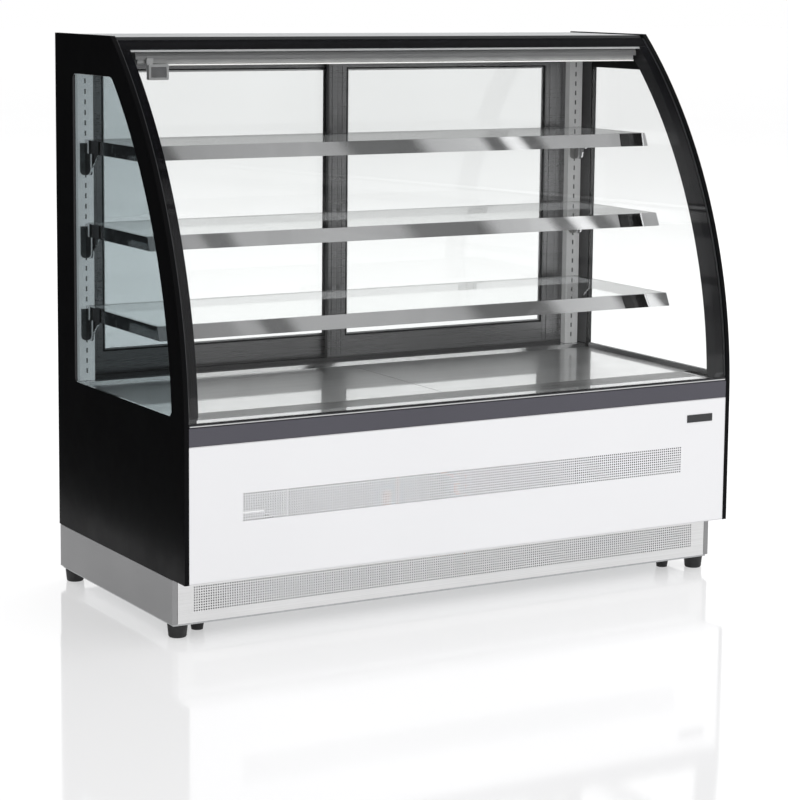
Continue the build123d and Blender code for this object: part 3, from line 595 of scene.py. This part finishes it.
# ---------------------------------------------------------------- front glass and its print
def front_glass():
    """Curved pane with a black print round its edge, on the inside."""
    half = GLASS_HALF
    pane = Shape()
    pane.arc(GLASS_OUTER, GLASS_INNER, 498.0, 1333.0, -half, half, 110)
    piece("front_pane", pane.points, pane.faces, "clear_glass", "front_glass_unit", "front_glass",
          smooth=True)
    edge = Shape()
    ink = (GLASS_INNER - 0.1, GLASS_INNER - 0.5)
    edge.arc(*ink, 1310.0, 1332.0, -half + 1, half - 1, 8)
    for side in (-1, 1):
        low, high = sorted((side * (half - 25), side * (half - 1)))
        edge.arc(*ink, 513.0, 1309.9, low, high, 90)
    piece("front_pane_print", edge.points, edge.faces, "print_black", "front_glass_unit",
          smooth=True)


def side_panes():
    """Left pane tinted dark as painted shade and clear right pane, with the outline of the side window."""
    for side, name, finish in ((-1, "side_pane_left", "left_pane_painted_shade"), (1, "side_pane_right", "right_pane")):
        outline = window_outline(PANE_GAP)
        shape = Shape()
        x0, x1 = sorted((side * 740.5, side * 749.0))
        shape.loft([[(x, y, z) for y, z in outline] for x in (x0, x1)])
        piece(name, shape.points, shape.faces, finish, "cabinet", "side_glasses")


def window_outline(inset):
    """(y, z) corners of the side window, with its curved front edge and rounded corners."""
    low = WINDOW_LOW + inset
    high = WINDOW_TOP - inset
    rear = WINDOW_REAR - inset
    corner = WINDOW_CORNER - inset
    points = []
    steps = 60
    for i in range(steps + 1):
        z = low + (high - low) * i / steps
        points.append((arc_y(WINDOW_RADIUS - inset, z), z))
    points = round_corner(points[:-1], points[-1], (rear, high), corner)
    for centre_z, first in ((high - corner, 90), (low + corner, 0)):
        for i in range(7):
            turn = math.radians(first - 15 * i)
            points.append((rear - corner + corner * math.cos(turn), centre_z + corner * math.sin(turn)))
    return points


def round_corner(points, tip, after, radius):
    """Cut a corner of an outline with three points of a curve."""
    kept = [p for p in points if math.dist(p, tip) > radius]
    before = kept[-1]
    toward = Vector((after[0] - tip[0], after[1] - tip[1])).normalized() * radius
    last = (tip[0] + toward[0], tip[1] + toward[1])
    for t in (0.25, 0.5, 0.75):
        a = (before[0] + (tip[0] - before[0]) * t, before[1] + (tip[1] - before[1]) * t)
        b = (tip[0] + (last[0] - tip[0]) * t, tip[1] + (last[1] - tip[1]) * t)
        kept.append((a[0] + (b[0] - a[0]) * t, a[1] + (b[1] - a[1]) * t))
    kept.append(last)
    return kept


# ---------------------------------------------------------------- rear doors
def door_details(side, edges, glass_edges, y0):
    """Double glazing with its spacer and gaskets, and the ribs of the stiles."""
    body = "door_" + side
    window = (glass_edges[0] + 0.4, glass_edges[1] - 0.4, DOOR_PANE_LOW, DOOR_PANE_TOP)
    panes = Shape()
    for y in (y0 + 2, y0 + 8.5):
        panes.plate(window[0], window[1], y, y + 3.5, window[2], window[3])
    piece(body + "_panes", panes.points, panes.faces, "clear_glass", body, body + "_glass",
          bevel=0.4)
    spacer = Shape()
    spacer.frame_y((window[0] + 1, window[1] - 1, window[2] + 1, window[3] - 1), 7.0, y0 + 5.6, y0 + 8.4)
    piece(body + "_spacer", spacer.points, spacer.faces, "bare_metal", body, bevel=0.3)
    gasket = Shape()
    for y in (y0 + 0.6, y0 + 12.1):
        gasket.frame_y(window, 4.0, y, y + 1.3)
    piece(body + "_gaskets", gasket.points, gasket.faces, "rubber", body, bevel=0.3)
    ribs = Shape()
    for low, high in ((edges[0], glass_edges[0]), (glass_edges[1], edges[1])):
        wide = high - low
        for a, b, tilt in ((0.03, 0.13, 0.0), (0.19, 0.45, 0.5), (0.5, 0.69, -0.5), (0.75, 0.96, 0.2)):
            x0, x1 = low + a * wide, low + b * wide
            front = y0 - 0.9
            outline = [(x0, y0 + 0.3), (x0, front + 0.5 - tilt), (x0 + 0.6, front - tilt),
                       (x1 - 0.6, front + tilt), (x1, front + 0.5 + tilt), (x1, y0 + 0.3)]
            ribs.bar_z(outline, 517.0, 1257.0)
    piece(body + "_ribs", ribs.points, ribs.faces, "door_frame", body)


# ---------------------------------------------------------------- trims
def trims():
    """Bright bead under the lamp cover and steel trims along the sill of each side window."""
    bead = Shape()
    bead.bar_x([(5.5, 1276.4), (5.0, 1275.6), (5.0, 1274.4), (5.7, 1273.8), (8.6, 1273.8), (9.2, 1274.6),
                (9.2, 1276.4)], -618, 694)
    piece("lamp_bead", bead.points, bead.faces, "lit_bead", "cabinet")
    for side, name in ((-1, "left"), (1, "right")):
        sill = Shape()
        outline = [(738.8, 498.3), (736.6, 498.3), (736.2, 503.5), (737.4, 509.0), (738.8, 509.6)]
        sill.loft([[(side * x, y, z) for x, z in outline] for y in (-325.0, 243.0)])
        piece("window_sill_" + name, sill.points, sill.faces, "tub_steel", "cabinet")


# ---------------------------------------------------------------- display and controls
def displays():
    """Blank windows of the thermometer and of the rear controller."""
    screen = Shape()
    screen.plate(-668.2, -629.8, -11.2, -10.2, 1247.3, 1271.2)
    piece("thermometer_screen", screen.points, screen.faces, "screen_grey", "cabinet",
          bevel=0.35)
    window = Shape()
    window.plate(-631.8, -572.2, 359.2, 359.9, 420.2, 432.8)
    piece("controller_window", window.points, window.faces, "print_black", "cabinet",
          bevel=0.25)


# ---------------------------------------------------------------- coils
def coil(name, node, x0, x1, y0, y1, z0, z1, pitch, tubes, ends, bends):
    """Fin pack with tubes through it, an end plate at both ends and return bends outside them."""
    fins = Shape()
    count = int((x1 - x0) / pitch)
    for i in range(count):
        x = x0 + (i + 0.5) * (x1 - x0) / count
        fins.plate(x - 0.15, x + 0.15, y0, y1, z0, z1)
    for plate in ends:
        fins.plate(*plate)
    piece(name + "_fins", fins.points, fins.faces, "bare_metal", "cabinet", node)
    pipes = Shape()
    for y, z in tubes:
        pipes.tube((x0 - 6, y, z), (x1 + 6, y, z), COIL_TUBE)
    for x, side, ya, za, yb, zb in bends:
        u_bend(pipes, x, side, (ya, za), (yb, zb), COIL_TUBE)
    piece(name + "_tubes", pipes.points, pipes.faces, "copper", "cabinet", node, smooth=True)


def u_bend(shape, x, side, a, b, radius):
    """Half-round return bend in the plane of its two ends."""
    middle = Vector(((a[0] + b[0]) / 2, (a[1] + b[1]) / 2))
    half = (Vector(b) - Vector(a)).length / 2
    toward = (Vector(b) - Vector(a)).normalized()
    reach = min(half, 11.0)
    rings = []
    for i in range(13):
        turn = math.pi * i / 12
        centre = Vector((x + side * reach * math.sin(turn), *(middle - toward * half * math.cos(turn))))
        along = Vector((side * reach * math.cos(turn), *(toward * half * math.sin(turn)))).normalized()
        normal = Vector((0.0, -toward[1], toward[0]))
        other = along.cross(normal)
        spread = [2 * math.pi * k / 14 for k in range(14)]
        rings.append([tuple(centre + radius * (normal * math.cos(t) + other * math.sin(t))) for t in spread])
    shape.loft(rings)


def coils():
    """Evaporator in the tub and condenser in the machine space."""
    tubes = [(y, z) for y in (-20, 20, 48) for z in (404, 444)]
    ends = [(-484, -480, -44, 64, 378, 468), (480, 484, -44, 64, 378, 468)]
    bends = [(side * 486, side, y, 404, y, 444) for side in (-1, 1) for y in (-20, 20, 48)]
    coil("evaporator", "evaporator_coil", -480, 480, -40, 60, 384, 464, 4.0, tubes, ends, bends)
    x0, x1 = 80, 380
    tubes = [(y, z) for y in (-204, -172) for z in range(92, 300, 24)]
    ends = [(x0 - 3, x0, -222, -154, 57, 312), (x1, x1 + 3, -222, -154, 57, 312)]
    bends = [(x1 + 4, 1, -204, z, -172, z) for z in range(92, 300, 24)]
    bends += [(x0 - 4, -1, -172, z, -172, z + 24) for z in range(92, 270, 48)]
    coil("condenser", "condenser_coil", x0, x1, -216, -160, 72, 308, 2.5, tubes, ends, bends)


def edges_and_linings():
    """Lip of the hinge profile painted light grey as a painted highlight, linings and reveals by the windows,
    dark edges of the front glass.
    """
    lip = Shape()
    outline = [(-360.5, 495.3), (-360.5, 497.5), (-359.6, 498.0), (-358.0, 498.0), (-358.0, 495.3)]
    lip.bar_x(outline, -736, 736)
    piece("hinge_lip", lip.points, lip.faces, "trim_painted_highlight", "front_glass_unit")
    for side, sign in (("left", -1), ("right", 1)):
        lining = Shape()
        low, high = sorted((sign * 737.6, sign * 738.8))
        lining.plate(low, high, 257.5, 299.0, 507.0, 1287.0)
        piece("side_lining_" + side, lining.points, lining.faces, "lining", "cabinet")
        reveal = Shape()
        low, high = sorted((sign * 749.05, sign * 749.8))
        reveal.plate(low, high, WINDOW_REAR - 10.5, WINDOW_REAR, WINDOW_LOW + 1, WINDOW_TOP - 1)
        piece("window_reveal_" + side, reveal.points, reveal.faces, "reveal", "cabinet")
        edge = Shape()
        low, high = sorted((sign * 736.2, sign * 737.4))
        edge.arc(GLASS_OUTER + 0.2, GLASS_INNER - 0.2, 505.0, 1331.0, low, high, 110)
        piece("glass_edge_" + side, edge.points, edge.faces, "edge_light", "front_glass_unit",
              smooth=True)


def shelf_brackets():
    """Round-footed plates that hang from the rear corners of the shelves, in front of the uprights."""
    turns = [math.pi / 2 * k / 6 for k in range(7)]
    round_foot = [(BRACKET_CORNER * (1 - math.cos(t)), BRACKET_CORNER * (1 - math.sin(t))) for t in turns]
    for level, top in SHELF_TOPS.items():
        for side, middle in (("left", -UPRIGHT_X), ("right", UPRIGHT_X)):
            low = top - BRACKET_DROP
            outline = [(BRACKET_HALF - dx, low + dz) for dx, dz in round_foot[::-1]]
            outline.append((BRACKET_HALF, top - 9.0))
            outline += [(-x, z) for x, z in outline[::-1]]
            plate = Shape()
            plate.loft([[(middle + x, y, z) for x, z in outline] for y in (276.6, 278.4)])
            piece("shelf_%s_bracket_%s" % (level, side), plate.points, plate.faces, "bracket_steel",
                  "shelf_" + level)


def grille_shade_gauze():
    """Fine black gauze clipped behind the louvres of the rear grille, with a folded rim. It is a dark sheet
    put in as painted shade, so the machine space looks dark through the front holes.
    """
    y0 = REAR_SKIN - 3.9
    gauze = Shape()
    gauze.perforated(lambda u, v, w: (u, y0 + w, v), (-117.0, 617.0, 84.0, 316.0), (250, 200), 88, 26, 8.0,
                     0.9, 0.4)
    gauze.plate(-117, 617, y0 - 2.0, y0, 84, 85)
    gauze.plate(-117, 617, y0 - 2.0, y0, 315, 316)
    piece("rear_grille_gauze", gauze.points, gauze.faces, "black_plastic", "cabinet")


def details():
    """Every new piece."""
    front_panel()
    plinth_front()
    air_grille()
    grille_shade_gauze()
    shelf_brackets()
    edges_and_linings()
    front_glass()
    side_panes()
    door_details("left", (-698, 30), (-640, -25), 329)
    door_details("right", (-32, 698), (19, 624), 307)
    trims()
    displays()
    coils()


# ---------------------------------------------------------------- studio
def floor_material():
    """Pale glossy floor that glows a little, so that it stays white under the case."""
    s = Shader("studio_floor")
    drift = s.ramp(s.noise(0.8, 2.0), 0.3, 0.7, 0.0, 1.0)
    s.colour(s.blend(drift, (0.42, 0.42, 0.425), (0.45, 0.45, 0.455)))
    s.put(Roughness=0.07, IOR=1.38, Emission_Color=(1.0, 1.0, 1.0, 1.0), Emission_Strength=0.43)
    return s.material


def flag_material():
    """Near-black card that only mirror reflections of its front side see."""
    s = Shader("flag_black")
    s.colour(s.blend(s.noise(3.0), (0.0, 0.0, 0.0), (0.004, 0.004, 0.004)))
    s.put(Roughness=1.0, Specular_IOR_Level=0.0, Emission_Color=(1.0, 1.0, 1.0, 1.0), Emission_Strength=0.035)
    clear = s.tree.nodes.new("ShaderNodeBsdfTransparent")
    side = s.tree.nodes.new("ShaderNodeNewGeometry")
    path = s.tree.nodes.new("ShaderNodeLightPath")
    direct = s.tree.nodes.new("ShaderNodeMath")
    direct.operation = "LESS_THAN"
    direct.inputs[1].default_value = 0.5
    s.link(path.outputs["Glossy Depth"], direct.inputs[0])
    open_to = s.tree.nodes.new("ShaderNodeMath")
    open_to.operation = "MAXIMUM"
    s.link(side.outputs["Backfacing"], open_to.inputs[0])
    s.link(direct.outputs[0], open_to.inputs[1])
    mix = s.tree.nodes.new("ShaderNodeMixShader")
    s.link(open_to.outputs[0], mix.inputs[0])
    s.link(s.principled.outputs[0], mix.inputs[1])
    s.link(clear.outputs[0], mix.inputs[2])
    s.link(mix.outputs[0], s.output.inputs["Surface"])
    return s.material


def studio():
    """Pale floor, a white room behind, banded light in front and a dark flag at the left, in metres."""
    reach = 60.0
    corners = [(-reach, -reach, 0), (reach, -reach, 0), (reach, reach, 0), (-reach, reach, 0)]
    sheet("floor", corners, floor_material())
    x, near, far, low, high = -0.83, -0.45, 6.5, 0.15, 3.5
    card = sheet("flag", [(x, near, low), (x, far, low), (x, far, high), (x, near, high)], flag_material())
    for ray in ("camera", "diffuse", "shadow", "volume_scatter"):
        setattr(card, "visible_" + ray, False)
    room()
    softbox("top_box", (0.6, -1.6, 3.8), (0, 0, 0.6), 3.6, 2.6, 38.0)
    softbox("front_box", (1.8, -4.6, 2.4), (0, 0, 0.6), 2.4, 1.8, 24.0)
    bpy.context.scene.view_settings.view_transform = "Standard"


def sheet(name, corners, material):
    """Flat stage surface."""
    mesh = bpy.data.meshes.new(name)
    mesh.from_pydata(corners, [], [tuple(range(len(corners)))])
    mesh.materials.append(material)
    item = bpy.data.objects.new(name, mesh)
    bpy.context.scene.collection.objects.link(item)
    return item


# Brightness of the room in front of the case, by angle in degrees to the right of straight ahead.
FRONT_BANDS = [
    (20, 0.42), (31.0, 0.40), (31.5, 0.30), (33.2, 0.32), (33.5, 0.46), (33.9, 0.44), (34.1, 0.17),
    (34.6, 0.18), (34.9, 0.50), (38.0, 0.54), (38.9, 0.46), (39.3, 0.18), (40.8, 0.16), (41.2, 0.62),
    (42.4, 0.78), (42.6, 0.18), (42.9, 0.20), (43.0, 1.3), (43.3, 1.3), (43.4, 0.16), (43.7, 0.18),
    (43.9, 0.50), (50, 0.50),
]


def room():
    """Sky: even for soft light, and shaped for reflections and for what shows through glass."""
    world = bpy.data.worlds.new("studio")
    bpy.context.scene.world = world
    world.use_nodes = True
    tree = world.node_tree
    tree.nodes.clear()

    def math_node(operation, *values):
        node = tree.nodes.new("ShaderNodeMath")
        node.operation = operation
        for socket, value in zip(node.inputs, values):
            if isinstance(value, (int, float)):
                socket.default_value = value
            else:
                tree.links.new(value, socket)
        return node.outputs[0]

    def ramp(value, low, high, a, b):
        node = tree.nodes.new("ShaderNodeMapRange")
        node.interpolation_type = "SMOOTHSTEP"
        for key, number in (("From Min", low), ("From Max", high), ("To Min", a), ("To Max", b)):
            node.inputs[key].default_value = number
        tree.links.new(value, node.inputs["Value"])
        return node.outputs["Result"]

    def mix_float(factor, a, b):
        part_a = math_node("MULTIPLY", math_node("SUBTRACT", 1.0, factor), a)
        return math_node("ADD", part_a, math_node("MULTIPLY", factor, b))

    split = tree.nodes.new("ShaderNodeSeparateXYZ")
    tree.links.new(tree.nodes.new("ShaderNodeTexCoord").outputs["Generated"], split.inputs[0])
    x, y, z = split.outputs
    behind = math_node("MULTIPLY", ramp(x, -0.12, 0.12, 0.04, 1.26), ramp(z, 0.06, 0.13, 0.47, 1.0))
    angle = math_node("DEGREES", math_node("ARCTAN2", x, math_node("MULTIPLY", y, -1.0)))
    slanted = math_node("ADD", angle, math_node("MULTIPLY", math_node("SUBTRACT", z, 0.57), 14.0))
    bands = tree.nodes.new("ShaderNodeValToRGB")
    first, last = FRONT_BANDS[0][0], FRONT_BANDS[-1][0]
    tree.links.new(ramp_linear(tree, slanted, first, last), bands.inputs[0])
    while len(bands.color_ramp.elements) > 1:
        bands.color_ramp.elements.remove(bands.color_ramp.elements[0])
    for index, (place, value) in enumerate(FRONT_BANDS):
        stops = bands.color_ramp.elements
        along = (place - first) / (last - first)
        stop = stops[0] if index == 0 else stops.new(along)
        stop.position = along
        stop.color = (value, value, value, 1.0)
    shaped = mix_float(ramp(y, -0.1, 0.1, 0.0, 1.0), bands.outputs[0], behind)
    overhead = math_node("MULTIPLY", ramp(z, 0.60, 0.80, 0.0, 0.9), ramp(y, 0.10, 0.25, 1.0, 0.0))
    shaped = math_node("MULTIPLY", shaped, math_node("SUBTRACT", 1.0, overhead))
    ahead = math_node("DEGREES", math_node("ARCTAN2", x, y))
    corner = math_node("ADD", ahead, math_node("MULTIPLY", z, 7.5))
    dim = math_node("MULTIPLY", ramp(corner, 16.0, 19.0, 0.0, 0.30), ramp(corner, 23.2, 24.2, 1.0, 0.0))
    through = math_node("SUBTRACT", ramp(ahead, 24.0, 34.0, 0.93, 1.05), dim)
    path = tree.nodes.new("ShaderNodeLightPath")
    mirrored = math_node("MINIMUM", path.outputs["Glossy Depth"], 1.0)
    scattered = math_node("MINIMUM", path.outputs["Diffuse Depth"], 1.0)
    strength = mix_float(mirrored, through, shaped)
    strength = mix_float(scattered, strength, 1.02)
    strength = mix_float(path.outputs["Is Camera Ray"], strength, 1.0)
    sky = tree.nodes.new("ShaderNodeBackground")
    sky.inputs["Color"].default_value = (1.0, 1.0, 1.0, 1.0)
    tree.links.new(strength, sky.inputs["Strength"])
    out = tree.nodes.new("ShaderNodeOutputWorld")
    tree.links.new(sky.outputs[0], out.inputs["Surface"])


def ramp_linear(tree, value, low, high):
    """value from low..high to 0..1."""
    node = tree.nodes.new("ShaderNodeMapRange")
    node.inputs["From Min"].default_value = low
    node.inputs["From Max"].default_value = high
    tree.links.new(value, node.inputs["Value"])
    return node.outputs["Result"]


def softbox(name, place, target, wide, tall, power):
    """Area light that looks at a point and shows in no reflection."""
    data = bpy.data.lights.new(name, "AREA")
    data.shape = "RECTANGLE"
    data.size = wide
    data.size_y = tall
    data.energy = power
    lamp = bpy.data.objects.new(name, data)
    lamp.location = place
    aim = Vector(target) - Vector(place)
    lamp.rotation_euler = aim.to_track_quat("-Z", "Y").to_euler()
    lamp.visible_glossy = False
    lamp.visible_transmission = False
    bpy.context.scene.collection.objects.link(lamp)


def camera():
    """Camera a little above the roof and to the left of the front, at the angle of the photograph."""
    yaw = math.radians(30.05)
    pitch = math.radians(-7.99)
    roll = math.radians(0.555)
    forward = Vector((math.sin(yaw) * math.cos(pitch), math.cos(yaw) * math.cos(pitch), math.sin(pitch)))
    right = Vector((math.cos(yaw), -math.sin(yaw), 0.0))
    up = right.cross(forward)
    side = right * math.cos(roll) + up * math.sin(roll)
    top = up * math.cos(roll) - right * math.sin(roll)
    data = bpy.data.cameras.new("camera")
    data.sensor_width = 36.0
    data.lens = 111.0
    data.shift_y = -0.0933
    data.clip_end = 200.0
    item = bpy.data.objects.new("camera", data)
    basis = Matrix((side, top, -forward)).transposed().to_4x4()
    item.matrix_world = Matrix.Translation((-3.0241, -5.2075, 1.4776)) @ basis
    bpy.context.scene.collection.objects.link(item)
    bpy.context.scene.camera = item


paint_nodes()
details()
studio()
camera()
